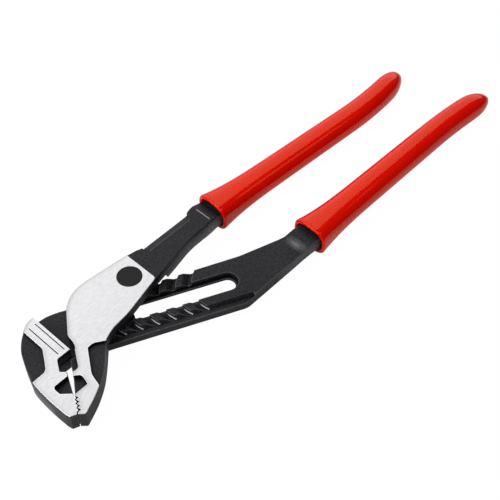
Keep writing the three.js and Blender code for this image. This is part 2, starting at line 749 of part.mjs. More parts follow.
function lowerLever() {
  const grooves = [];
  for (let station = 0; station < STATION_COUNT; station += 1) {
    grooves.push(groove(station));
  }
  const arm = cut(plate(armPlan(), 0, FACE).intersect(sideView(armSide())), [...grooves, ledge()]);
  const steel = join([arm, eased(lowerJaw(), JAW_BOTTOM, FACE), tang(LOWER_RIM), ...ridges()]);
  return cut(steel, [
    plate(slotShape(SLOT_WIDTH, 0), ARM_TOP - SLOT_DEPTH, ARM_TOP + PAST, SLOT_ANGLE),
    plate(slotShape(LIP_WIDTH, 0), 0, ARM_TOP, SLOT_ANGLE),
    plate(washerChannel(), 0, CHANNEL_ROOF, SLOT_ANGLE),
    plate(outline(LOWER_PANEL), FACE - PANEL_DEPTH, FACE + PAST),
    plate(outline(LOWER_POCKET), FACE - POCKET_DEPTH, FACE + PAST),
    ...nicks(LOWER_CORNER, LOWER_KNEE, -1),
  ]);
}

// Pivot hardware

function pivotStud() {
  const thread = THREAD_DIAMETER / 2;
  return turned([
    [0, THREAD_RECESS],
    [thread, THREAD_RECESS],
    [thread, WASHER_BOTTOM],
    [STUD_RADIUS, WASHER_BOTTOM],
    [STUD_RADIUS, FACE - BORE_SKIN - FIT_GAP],
    [0, FACE - BORE_SKIN - FIT_GAP],
  ]);
}

function pivotWasher() {
  const half = WASHER_WIDTH / 2;
  const reach = WASHER_LENGTH / 2;
  const shape = outline([
    [-reach, -half, WASHER_CORNER],
    [reach, -half, WASHER_CORNER],
    [reach, half, WASHER_CORNER],
    [-reach, half, WASHER_CORNER],
  ]);
  const ring = plate(shape, WASHER_BOTTOM, WASHER_TOP, SLOT_ANGLE);
  return cut(ring, [rod(STUD_RADIUS + FIT_GAP, 0, ARM_TOP)]);
}

function pivotNut() {
  const corner = NUT_ACROSS_FLATS / Math.sqrt(3);
  const flats = turned([[0, 0], [corner, 0], [corner, NUT_THICK], [0, NUT_THICK]], [0, 0], 6);
  const chamfered = turned([
    [0, 0],
    [corner - NUT_CHAMFER, 0],
    [corner, NUT_CHAMFER],
    [corner, NUT_THICK],
    [0, NUT_THICK],
  ]);
  return cut(flats.intersect(chamfered), [rod(THREAD_DIAMETER / 2 + FIT_GAP, -PAST, NUT_THICK + PAST)]);
}

// Assembly

const DARK_STEEL = { color: 0x2b2c2e, roughness: 0.5, metalness: 0.6 };
const BARE_STEEL = { color: 0xb9bbbd, roughness: 0.35, metalness: 1 };
const RED_DIP = { color: 0xd8201c, roughness: 0.25, metalness: 0 };

const pieces = [
  ['upper_lever', upperLever(), DARK_STEEL],
  ['lower_lever', lowerLever(), DARK_STEEL],
  ['pivot_stud', pivotStud(), BARE_STEEL],
  ['pivot_washer', pivotWasher(), BARE_STEEL],
  ['pivot_nut', pivotNut(), BARE_STEEL],
  ['upper_grip', grip(UPPER_RIM), RED_DIP],
  ['lower_grip', grip(LOWER_RIM), RED_DIP],
];

const pliers = new THREE.Group();
pieces.forEach(([name, solid, finish]) => {
  const mesh = new THREE.Mesh(toGeometry(solid), new THREE.MeshStandardMaterial(finish));
  mesh.name = name;
  pliers.add(mesh);
});

// The origin is the middle of the tool's base.
const box = new THREE.Box3().setFromObject(pliers);
const middle = box.getCenter(new THREE.Vector3());
pliers.children.forEach((mesh) => mesh.position.set(-middle.x, -middle.y, -box.min.z));

export default pliers;
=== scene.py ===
import json
import math

import bmesh
import bpy
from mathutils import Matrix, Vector


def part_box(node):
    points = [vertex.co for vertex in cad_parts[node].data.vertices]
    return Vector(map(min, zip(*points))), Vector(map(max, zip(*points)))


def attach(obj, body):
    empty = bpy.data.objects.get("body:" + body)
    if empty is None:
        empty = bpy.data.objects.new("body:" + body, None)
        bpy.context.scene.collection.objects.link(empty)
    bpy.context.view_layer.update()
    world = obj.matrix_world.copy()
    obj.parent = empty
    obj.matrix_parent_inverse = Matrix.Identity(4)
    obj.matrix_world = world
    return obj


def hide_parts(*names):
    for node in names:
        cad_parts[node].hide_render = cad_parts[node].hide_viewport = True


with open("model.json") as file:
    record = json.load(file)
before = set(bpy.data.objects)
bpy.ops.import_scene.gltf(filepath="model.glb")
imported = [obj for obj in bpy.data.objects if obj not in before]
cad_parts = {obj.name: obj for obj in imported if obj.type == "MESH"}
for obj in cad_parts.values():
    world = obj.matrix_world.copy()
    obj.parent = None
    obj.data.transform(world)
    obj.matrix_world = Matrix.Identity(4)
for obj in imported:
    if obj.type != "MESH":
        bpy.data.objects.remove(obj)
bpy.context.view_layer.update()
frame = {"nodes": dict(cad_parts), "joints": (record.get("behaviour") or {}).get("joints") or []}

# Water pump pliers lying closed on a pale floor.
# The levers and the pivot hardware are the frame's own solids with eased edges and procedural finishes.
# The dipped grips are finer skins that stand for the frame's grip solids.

MM = 0.001

# Places taken from the frame
HINGE = next(joint for joint in frame["joints"] if joint["name"] == "pivot_hinge")
PIVOT = Vector(HINGE["pos_m"])
SLOT = Vector(next(joint for joint in frame["joints"] if joint["name"] == "slot_slide")["axis"])
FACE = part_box("upper_lever")[1].z
GRIP_AXIS = (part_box("upper_grip")[0].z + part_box("upper_grip")[1].z) / 2

# Dipped grips, with lengths measured from the collar's rim
COLLAR_WIDTH = 18.9 * MM
COLLAR_THICK = 14.8 * MM
COLLAR_LENGTH = 40 * MM
FLARE = 3
BODY_WIDTH = 15.2 * MM
BODY_THICK = 11.2 * MM
END_WIDTH = 12.6 * MM
END_LENGTH = 13.6 * MM
RIM_ROUND = 1.3 * MM
BEND_START = 92 * MM
MOUTH_WALL = 2 * MM
MOUTH_DEPTH = 7.5 * MM
MOUTH_FLOOR_SHARES = (0.55, 0.9)  # of the mouth's half width
MOUTH_WALL_SHARES = (0.85, 0.5, 0.2, 0.06)  # of the mouth's depth
OVAL = 2.5
COLLAR_OVAL = 3.2  # the section is squarer at the rim
GRIP_SIDES = 32
RIM_STEPS = 4
BODY_STEPS = 22
STEP_GROWTH = 1.15  # sections lie closer together near the collar
END_STEPS = 6
UPPER_RIM = {"at": (71.4 * MM, 11.4 * MM), "turn": math.radians(-3.9), "bend": 5.3 * MM, "length": 136 * MM}
LOWER_RIM = {"at": (90.9 * MM, -31.3 * MM), "turn": math.radians(-0.65), "bend": -3.2 * MM, "length": 133.3 * MM}

# Marks on the bright faces, measured from the pivot
DISC_AT = (16.6 * MM, 7.2 * MM)
DISC_RADIUS = 5.7 * MM
STRIP_LINES = (-27.5 * MM, -30.8 * MM)
STRIP_LINE_WIDTH = 0.45 * MM
STRIP_FROM = -1.4 * MM
STRIP_TO = 17.5 * MM
STRIP_END_SOFT = 0.1 * MM
MARK_SOFT = 0.04 * MM

# Grooves across the slot, and the painted highlight lines at their feet
GROOVE_RADIUS = 15.9 * MM
STATION_PITCH = 7.4 * MM
LAST_STATION = 7
GROOVE_BELOW_FACE = 7.25 * MM
SEAT_WIDTH = 0.4 * MM
SEAT_RISE = 0.7 * MM
SEAT_FROM = -5.5 * MM
SEAT_TO = -10.2 * MM
SEAT_INNER_SOFT = 2 * MM
SEAT_OUTER_SOFT = 0.1 * MM
SEAT_STRENGTH = 0.75

# Painted floor reflection on the walls, painted shadow under their top edges, painted highlight lines and a
# scuff on the necks and the lower jaw, measured from the pivot in plan and down from the bright face
NECK_FROM = 22 * MM
NECK_SOFT = 4 * MM
LOWER_NECK_FROM = 62 * MM
LOWER_NECK_SOFT = 14 * MM
LOWER_NECK_REFLECTION = 0.45
JAW_OUTSIDE = -22 * MM
JAW_SOFT = 4 * MM
JAW_TIP = -18.5 * MM
JAW_TIP_SOFT = 2 * MM
JAW_REFLECTION = 0.6
WALL_TOP = 1.5 * MM
WALL_FOOT = 7.5 * MM
TOP_EDGE_SHADOW_DEPTH = 2 * MM
NECK_LINE = 0.34 * MM
NECK_LINE_DEPTH = 4 * MM
LINE_END_SOFT = 1 * MM
DEPTH_SOFT = 0.2 * MM
FACET_AT = 11.4 * MM
FACET_FROM = 33 * MM
FACET_TO = 57 * MM
FACET_RISE = 3 * MM
FACET_STRENGTH = 0.14
RIDGE_AT = 64.2 * MM
RIDGE_FROM = 5.8 * MM
RIDGE_TO = 13.2 * MM
RIDGE_STRENGTH = 0.6
SCUFF_AT = (82.8 * MM, -30.8 * MM)
SCUFF_HALF = (3 * MM, 6.4 * MM)
SCUFF_DEPTH = 7 * MM
SCUFF_CLOUD = (0.4, 1.0)
SCUFF_SPECKLE = (0.04, 0.5)

# Edges, and the reach of the painted edge highlight, the painted shade in hollows and the painted shade on one
# side of the ground faces
GROUND_FADE = (0.14 * MM, 0.07 * MM)  # below the bright face: where grinding starts, and where it is full
LEVER_EDGE = 0.3 * MM
EDGE_RUB_HIGHLIGHT_WIDTH = 0.55 * MM
HOLLOW_SHADE_REACH = 3 * MM
HARDWARE_EDGE = 0.15 * MM
RIM_REACH = 3.5 * MM
SHADED_RIM_SIDE = (-0.6, 0.8, 0.0)  # the side on which the ground faces get painted shade toward their edges

# Spans over which masks fade in
NOISE_SPAN = (0.3, 0.7)
UPRIGHT_SPAN = (0.8, 0.4)
EDGE_SPAN = (0.92, 0.62)
HOLLOW_SHADE_SPAN = (0.95, 0.5)
RIM_SPAN = (0.04, 0.6)
RAY_SAMPLES = 8
DRIFT_HEIGHT = 0.3  # height of the slow drift against the fine grain
STREAK_DEPTH = 60.0

# Camera, floor and light
CAMERA_AT = (-0.15375, -0.22304, 0.357)  # from the pivot in plan, and over the bright face
CAMERA_AIM = (0.06695, -0.01724, -0.0064)
CAMERA_LENS = 75.6
SENSOR = 36
FLOOR_SIZE = 8
FLOOR_DROP = 0.2 * MM
FLOOR_GLOW = 0.95  # share of the floor's own white that the camera sees
FLOOR_IN_GLOSS = 0.35  # how much of that white shows in reflections
FLOOR_WHITE = 1.03
FLOOR_GREY = (0.86, 0.86, 0.86, 1)
FLOOR_ROUGHNESS = 0.9
SURROUNDINGS = (0.10, 0.10, 0.10, 1)
WHITE = (1, 1, 1, 1)
LAMPS = {
    "back_softbox": {"at": (1.15, 0.767, 0.624), "aim": (1.15, 0.292, -0.02), "size": (3.4, 1.2), "power": 19.0},
    "left_softbox": {"at": (-0.85, 0.35, 0.7), "aim": (0, 0, 0), "size": (0.8, 0.8), "power": 8.5},
    "front_strip": {"at": (0.24, -0.2, 1.0), "aim": (0.24, -0.2, 0), "size": (0.98, 0.26), "power": 0.95},
    "front_fill": {
        "at": (-0.15, -0.85, 0.65), "aim": (0, 0, 0), "size": (1.0, 1.0), "power": 1.8, "reflected": False,
    },
}


def place(x, y, z):
    """A point measured from the pivot in plan and from the bench in height."""
    return Vector((PIVOT.x + x, PIVOT.y + y, z))


# Shader building

def add(tree, kind, inputs=None, **settings):
    """A node with its settings made and its inputs set by value or linked from a socket."""
    node = tree.nodes.new(kind)
    for name, value in settings.items():
        setattr(node, name, value)
    for key, value in (inputs or {}).items():
        if isinstance(value, bpy.types.NodeSocket):
            tree.links.new(value, node.inputs[key])
        else:
            node.inputs[key].default_value = value
    return node


def math_node(tree, operation, first, second=0.0, clamp=False):
    return add(tree, "ShaderNodeMath", {0: first, 1: second}, operation=operation, use_clamp=clamp).outputs[0]


def fade(tree, value, start, end):
    """0 at start and 1 at end, clamped."""
    inputs = {"Value": value, "From Min": start, "From Max": end}
    return add(tree, "ShaderNodeMapRange", inputs).outputs["Result"]


def times(tree, first, *others):
    """Masks multiplied together."""
    result = first
    for mask in others:
        result = math_node(tree, "MULTIPLY", result, mask)
    return result


def within(tree, value, start, end, soft):
    """1 from start to end, fading to 0 on both sides."""
    return times(tree, fade(tree, value, start - soft, start), fade(tree, value, end + soft, end))


def blend(tree, factor, low, high):
    """A colour between two colours."""
    node = add(tree, "ShaderNodeMix", data_type="RGBA")
    for socket, value in ((node.inputs[0], factor), (node.inputs[6], low), (node.inputs[7], high)):
        if isinstance(value, bpy.types.NodeSocket):
            tree.links.new(value, socket)
        else:
            socket.default_value = value
    return node.outputs[2]


def mix_value(tree, factor, low, high):
    """A number between two numbers."""
    inputs = {"Value": factor, "To Min": low, "To Max": high}
    return add(tree, "ShaderNodeMapRange", inputs).outputs["Result"]


def eased_normal(tree, radius):
    """The surface normal, turned over an edge within a radius of it."""
    return add(tree, "ShaderNodeBevel", {"Radius": radius}, samples=RAY_SAMPLES).outputs["Normal"]


def new_group(name, inputs, outputs):
    """An empty shader node group with named float and vector sockets."""
    tree = bpy.data.node_groups.new(name, "ShaderNodeTree")
    for socket, kind, value in inputs:
        made = tree.interface.new_socket(socket, in_out="INPUT", socket_type=kind)
        if value is not None:
            made.default_value = value
    for socket in outputs:
        tree.interface.new_socket(socket, in_out="OUTPUT", socket_type="NodeSocketFloat")
    return tree, tree.nodes.new("NodeGroupInput"), tree.nodes.new("NodeGroupOutput")


PLACE_SOCKET = ("Place", "NodeSocketVector", None)


def fine_grain_group():
    """Cast or sprayed grain: fine speckle with a slow drift under it, as two masks and a height."""
    tree, given, result = new_group(
        "fine_grain",
        [PLACE_SOCKET, ("Grain", "NodeSocketFloat", 2600.0), ("Drift", "NodeSocketFloat", 60.0)],
        ["Speckle", "Cloud", "Height"],
    )
    place_out, grain, drift = given.outputs["Place"], given.outputs["Grain"], given.outputs["Drift"]
    fine = add(tree, "ShaderNodeTexNoise", {"Vector": place_out, "Scale": grain, "Detail": 2.0}).outputs[0]
    slow = add(tree, "ShaderNodeTexNoise", {"Vector": place_out, "Scale": drift, "Detail": 3.0}).outputs[0]
    tree.links.new(fade(tree, fine, *NOISE_SPAN), result.inputs["Speckle"])
    tree.links.new(fade(tree, slow, *NOISE_SPAN), result.inputs["Cloud"])
    height = math_node(tree, "ADD", fine, times(tree, slow, DRIFT_HEIGHT))
    tree.links.new(height, result.inputs["Height"])
    return tree


def brushed_streaks_group():
    """Grinding marks that run along X: long thin streaks as a mask and a height."""
    tree, given, result = new_group(
        "brushed_streaks",
        [PLACE_SOCKET, ("Along", "NodeSocketFloat", 60.0), ("Across", "NodeSocketFloat", 2400.0)],
        ["Streak", "Height"],
    )
    stretch = add(tree, "ShaderNodeCombineXYZ", {"X": given.outputs["Along"], "Y": given.outputs["Across"]})
    stretch.inputs["Z"].default_value = STREAK_DEPTH
    inputs = {0: given.outputs["Place"], 1: stretch.outputs[0]}
    long = add(tree, "ShaderNodeVectorMath", inputs, operation="MULTIPLY").outputs[0]
    noise = add(tree, "ShaderNodeTexNoise", {"Vector": long, "Scale": 1.0, "Detail": 4.0}).outputs[0]
    tree.links.new(fade(tree, noise, *NOISE_SPAN), result.inputs["Streak"])
    tree.links.new(noise, result.inputs["Height"])
    return tree


def edge_rub_highlight_and_hollow_shade_group():
    """Outer edges and hollows of a solid, each as a mask, from short rays cast into it and out of it: the edges
    take a painted highlight with some rubbing, the hollows painted shade.
    """
    tree, given, result = new_group(
        "edge_rub_highlight_and_hollow_shade",
        [("Width", "NodeSocketFloat", 0.0005), ("Reach", "NodeSocketFloat", 0.003)],
        ["Edge", "HollowShade"],
    )
    inward = add(tree, "ShaderNodeAmbientOcclusion", inside=True, only_local=True, samples=RAY_SAMPLES)
    outward = add(tree, "ShaderNodeAmbientOcclusion", only_local=True, samples=RAY_SAMPLES)
    tree.links.new(given.outputs["Width"], inward.inputs["Distance"])
    tree.links.new(given.outputs["Reach"], outward.inputs["Distance"])
    tree.links.new(fade(tree, inward.outputs["AO"], *EDGE_SPAN), result.inputs["Edge"])
    tree.links.new(fade(tree, outward.outputs["AO"], *HOLLOW_SHADE_SPAN), result.inputs["HollowShade"])
    return tree


def wall_reflection_and_shadow_group():
    """Upright faces of a solid as two masks: a painted reflection of the floor, paler down to the foot, and a
    painted shadow under the top edge.
    """
    tree, given, result = new_group(
        "wall_reflection_and_shadow",
        [PLACE_SOCKET, ("Top", "NodeSocketFloat", 0.012), ("Foot", "NodeSocketFloat", 0.006)],
        ["Pale", "TopEdgeShadow"],
    )
    facing = add(tree, "ShaderNodeNewGeometry").outputs["True Normal"]
    level = add(tree, "ShaderNodeSeparateXYZ", {0: facing}).outputs["Z"]
    upright = fade(tree, math_node(tree, "ABSOLUTE", level), *UPRIGHT_SPAN)
    height = add(tree, "ShaderNodeSeparateXYZ", {0: given.outputs["Place"]}).outputs["Z"]
    down = add(tree, "ShaderNodeMapRange", {"Value": height})
    tree.links.new(given.outputs["Top"], down.inputs["From Min"])
    tree.links.new(given.outputs["Foot"], down.inputs["From Max"])
    near_top = add(tree, "ShaderNodeMapRange", {"Value": height})
    shadow_foot = math_node(tree, "SUBTRACT", given.outputs["Top"], TOP_EDGE_SHADOW_DEPTH / 2)
    tree.links.new(shadow_foot, near_top.inputs["From Min"])
    tree.links.new(given.outputs["Top"], near_top.inputs["From Max"])
    tree.links.new(math_node(tree, "MULTIPLY", upright, down.outputs["Result"]), result.inputs["Pale"])
    tree.links.new(math_node(tree, "MULTIPLY", upright, near_top.outputs["Result"]), result.inputs["TopEdgeShadow"])
    return tree


def rim_shade_group():
    """Edges on one side of a piece, where a ground face takes a painted shade, as a mask."""
    tree, given, result = new_group("rim_shade", [("Reach", "NodeSocketFloat", 0.003)], ["Rim"])
    eased = eased_normal(tree, given.outputs["Reach"])
    settings = {"vector_type": "NORMAL", "convert_from": "WORLD", "convert_to": "OBJECT"}
    own = add(tree, "ShaderNodeVectorTransform", {0: eased}, **settings)
    side = add(tree, "ShaderNodeVectorMath", {0: own.outputs[0], 1: SHADED_RIM_SIDE}, operation="DOT_PRODUCT")
    tree.links.new(fade(tree, side.outputs["Value"], *RIM_SPAN), result.inputs["Rim"])
    return tree


FINE_GRAIN = fine_grain_group()
BRUSHED_STREAKS = brushed_streaks_group()
EDGE_RUB_HIGHLIGHT_AND_HOLLOW_SHADE = edge_rub_highlight_and_hollow_shade_group()
WALL_REFLECTION_AND_SHADOW = wall_reflection_and_shadow_group()
RIM_SHADE = rim_shade_group()


def new_material(name):
    """A material with its shader and output, and the piece's own coordinates."""
    material = bpy.data.materials.new(name)
    material.use_nodes = True
    tree = material.node_tree
    shader = tree.nodes["Principled BSDF"]
    coordinates = add(tree, "ShaderNodeTexCoord").outputs["Object"]
    return material, tree, shader, coordinates


def use_group(tree, group, coordinates=None, **values):
    node = add(tree, "ShaderNodeGroup", node_tree=group)
    if coordinates:
        tree.links.new(coordinates, node.inputs["Place"])
    for name, value in values.items():
        node.inputs[name].default_value = value
    return node.outputs


def link(tree, source, shader, socket):
    tree.links.new(source, shader.inputs[socket])


def bump(tree, height, distance, strength, eased=None):
    """A normal from a height, laid over an eased normal where there is one."""
    node = add(tree, "ShaderNodeBump", {"Height": height, "Distance": distance, "Strength": strength})
    if eased:
        tree.links.new(eased, node.inputs["Normal"])
    return node.outputs["Normal"]


# Finishes

CHARCOAL = (0.001, 0.001, 0.003, 1)
CHARCOAL_LIGHT = (0.032, 0.0315, 0.037, 1)
# Grey of the charcoal's edges: some rubbing and a painted highlight.
EDGE_RUB_AND_HIGHLIGHT = (0.13, 0.13, 0.135, 1)
# Painted reflection of the floor on the walls.
WALL_REFLECTION_GREY = (0.24, 0.24, 0.262, 1)
# Paler steel for the scuff and for painted highlight lines.
SCUFF_AND_HIGHLIGHT_STEEL = (0.80, 0.80, 0.81, 1)
GROUND_STEEL = (0.55, 0.55, 0.56, 1)
GROUND_STEEL_PALE = (0.74, 0.74, 0.75, 1)
# Painted shade toward the edges on one side of the ground faces.
STEEL_RIM_SHADE = (0.44, 0.44, 0.45, 1)
# Painted highlight on the ground faces' edges.
STEEL_EDGE_HIGHLIGHT = (0.95, 0.95, 0.95, 1)
ETCHED_BLACK = (0.006, 0.006, 0.0065, 1)
PLATED_DARK = (0.42, 0.42, 0.43, 1)
PLATED_PALE = (0.62, 0.62, 0.63, 1)
DIP_RED = (0.71, 0.001, 0.0, 1)
DIP_RED_PALE = (0.75, 0.002, 0.0, 1)
DIP_TINT = (1.0, 0.78, 0.25, 1)

# Shine: roughness from one end of a mask to the other, and how much the surface throws back
FORGED_ROUGHNESS = (0.42, 0.56)
STEEL_ROUGHNESS = (0.40, 0.52)
PLATED_ROUGHNESS = (0.28, 0.42)
DIP_ROUGHNESS = (0.10, 0.13)
FORGED_SPECULAR = 0.18
DIP_SPECULAR = 0.32

# Grain and streaks, in turns per metre
FORGED_GRAIN = {"Grain": 1150.0, "Drift": 70.0}
SCUFF_GRAIN = {"Grain": 2600.0, "Drift": 420.0}
PLATED_GRAIN = {"Grain": 1800.0, "Drift": 240.0}
DIP_GRAIN = {"Grain": 420.0, "Drift": 45.0}
STEEL_STREAKS = {"Along": 330.0, "Across": 2600.0}
PLATED_STREAKS = {"Along": 300.0, "Across": 1800.0}

# How strongly the grain breaks up the charcoal, the painted wall reflection and the edges with their rubbing and
# painted highlight
CLOUD_ON_SPECKLE = (0.6, 1.0)
SPECKLE_ON_WALL = (0.5, 1.0)
SPECKLE_ON_EDGE = (0.4, 1.0)

# Bump: depth and strength
FORGED_BUMP = (0.06 * MM, 0.7)
STEEL_BUMP_SHARE = 0.25
PLATED_BUMP = (0.02 * MM, 0.3)
DIP_BUMP = (0.05 * MM, 0.004)


def disc_mark(tree, x, y):
    """A plain etched disc: 1 inside it, 0 outside."""
    across = math_node(tree, "SUBTRACT", x, PIVOT.x + DISC_AT[0])
    up = math_node(tree, "SUBTRACT", y, PIVOT.y + DISC_AT[1])
    square = math_node(tree, "ADD", times(tree, across, across), times(tree, up, up))
    distance = math_node(tree, "SQRT", square)
    return fade(tree, distance, DISC_RADIUS + MARK_SOFT, DISC_RADIUS - MARK_SOFT)


def strip_mark(tree, x, y):
    """Two plain etched lines along the jaw's bright band."""
    lines = None
    for at in STRIP_LINES:
        off = math_node(tree, "ABSOLUTE", math_node(tree, "SUBTRACT", x, PIVOT.x + at))
        line = fade(tree, off, STRIP_LINE_WIDTH / 2 + MARK_SOFT, STRIP_LINE_WIDTH / 2 - MARK_SOFT)
        lines = line if lines is None else math_node(tree, "MAXIMUM", lines, line)
    after = fade(tree, y, PIVOT.y + STRIP_FROM, PIVOT.y + STRIP_FROM + STRIP_END_SOFT)
    before = fade(tree, y, PIVOT.y + STRIP_TO, PIVOT.y + STRIP_TO - STRIP_END_SOFT)
    return times(tree, lines, times(tree, after, before))


def seat_highlight_lines(tree, x, y, z):
    """Painted highlight lines at the feet of the grooves' steep walls, on the lower rail."""
    over = math_node(tree, "SUBTRACT", x, PIVOT.x)
    up = math_node(tree, "SUBTRACT", y, PIVOT.y)
    along = math_node(tree, "ADD", times(tree, over, SLOT.x), times(tree, up, SLOT.y))
    aside = math_node(tree, "SUBTRACT", times(tree, up, SLOT.x), times(tree, over, SLOT.y))
    rise = math_node(tree, "SUBTRACT", GROOVE_RADIUS ** 2, times(tree, aside, aside))
    reach = math_node(tree, "ADD", along, math_node(tree, "SQRT", rise))
    station = math_node(tree, "DIVIDE", reach, STATION_PITCH)
    off = math_node(tree, "ABSOLUTE", math_node(tree, "SUBTRACT", station, math_node(tree, "ROUND", station)))
    line = fade(tree, off, SEAT_WIDTH / STATION_PITCH, SEAT_WIDTH / STATION_PITCH / 3)
    height = math_node(tree, "ABSOLUTE", math_node(tree, "SUBTRACT", z, FACE - GROOVE_BELOW_FACE))
    masks = [
        line,
        fade(tree, height, SEAT_RISE, SEAT_RISE / 2),
        fade(tree, aside, SEAT_FROM, SEAT_FROM - SEAT_INNER_SOFT),
        fade(tree, aside, SEAT_TO - SEAT_OUTER_SOFT, SEAT_TO),
        fade(tree, station, LAST_STATION + 0.5, LAST_STATION + 0.4),
    ]
    return times(tree, *masks)


def neck_highlight_lines(tree, x, y, z):
    """Painted highlight lines on the upper neck: faint round its facet, bright on the ridge where it turns down.
    """
    over = math_node(tree, "SUBTRACT", x, PIVOT.x)
    up = math_node(tree, "SUBTRACT", y, PIVOT.y)
    half = NECK_LINE / 2
    along = times(
        tree,
        within(tree, up, FACET_AT, FACET_AT, half),
        within(tree, over, FACET_FROM, FACET_TO, LINE_END_SOFT),
    )
    slant = math_node(tree, "SUBTRACT", over, up)
    turn = FACET_TO - FACET_AT
    corner = times(
        tree,
        within(tree, slant, turn, turn, half),
        within(tree, up, FACET_AT, FACET_AT + FACET_RISE, half),
    )
    facet = times(tree, math_node(tree, "MAXIMUM", along, corner), FACET_STRENGTH)
    ridge = times(
        tree,
        within(tree, over, RIDGE_AT, RIDGE_AT, NECK_LINE),
        within(tree, up, RIDGE_FROM, RIDGE_TO, LINE_END_SOFT),
        RIDGE_STRENGTH,
    )
    near_top = fade(tree, z, FACE - NECK_LINE_DEPTH, FACE - NECK_LINE_DEPTH + DEPTH_SOFT)
    return times(tree, math_node(tree, "MAXIMUM", facet, ridge), near_top)


def neck_scuff(tree, x, y, z):
    """A soft scuff across the lower neck, just before its step."""
    coordinates = add(tree, "ShaderNodeTexCoord").outputs["Object"]
    flecks = use_group(tree, FINE_GRAIN, coordinates, **SCUFF_GRAIN)
    band = times(
        tree,
        within(tree, x, PIVOT.x + SCUFF_AT[0], PIVOT.x + SCUFF_AT[0], SCUFF_HALF[0]),
        within(tree, y, PIVOT.y + SCUFF_AT[1], PIVOT.y + SCUFF_AT[1], SCUFF_HALF[1]),
        fade(tree, z, FACE - SCUFF_DEPTH, FACE - SCUFF_DEPTH + DEPTH_SOFT),
    )
    patchy = mix_value(tree, flecks["Cloud"], *SCUFF_CLOUD)
    return times(tree, band, patchy, mix_value(tree, flecks["Speckle"], *SCUFF_SPECKLE))


def lower_highlights_and_scuff(tree, x, y, z):
    """All the light marks on the lower lever: the painted highlight lines in the grooves and the scuff."""
    seats = times(tree, seat_highlight_lines(tree, x, y, z), SEAT_STRENGTH)
    return math_node(tree, "MAXIMUM", seats, neck_scuff(tree, x, y, z))


def upper_neck(tree, x, y):
    """Where the upper lever's walls take the painted floor reflection: along its neck."""
    return fade(tree, x, PIVOT.x + NECK_FROM, PIVOT.x + NECK_FROM + NECK_SOFT)


def lower_neck(tree, x, y):
    """Where the lower lever's walls take the painted floor reflection: at its neck and on the outside of its
    jaw.
    """
    neck = fade(tree, x, PIVOT.x + LOWER_NECK_FROM, PIVOT.x + LOWER_NECK_FROM + LOWER_NECK_SOFT)
    jaw = fade(tree, x, PIVOT.x + JAW_OUTSIDE, PIVOT.x + JAW_OUTSIDE - JAW_SOFT)
    jaw = times(tree, jaw, fade(tree, y, PIVOT.y + JAW_TIP, PIVOT.y + JAW_TIP + JAW_TIP_SOFT))
    return math_node(tree, "MAXIMUM", times(tree, neck, LOWER_NECK_REFLECTION), times(tree, jaw, JAW_REFLECTION))


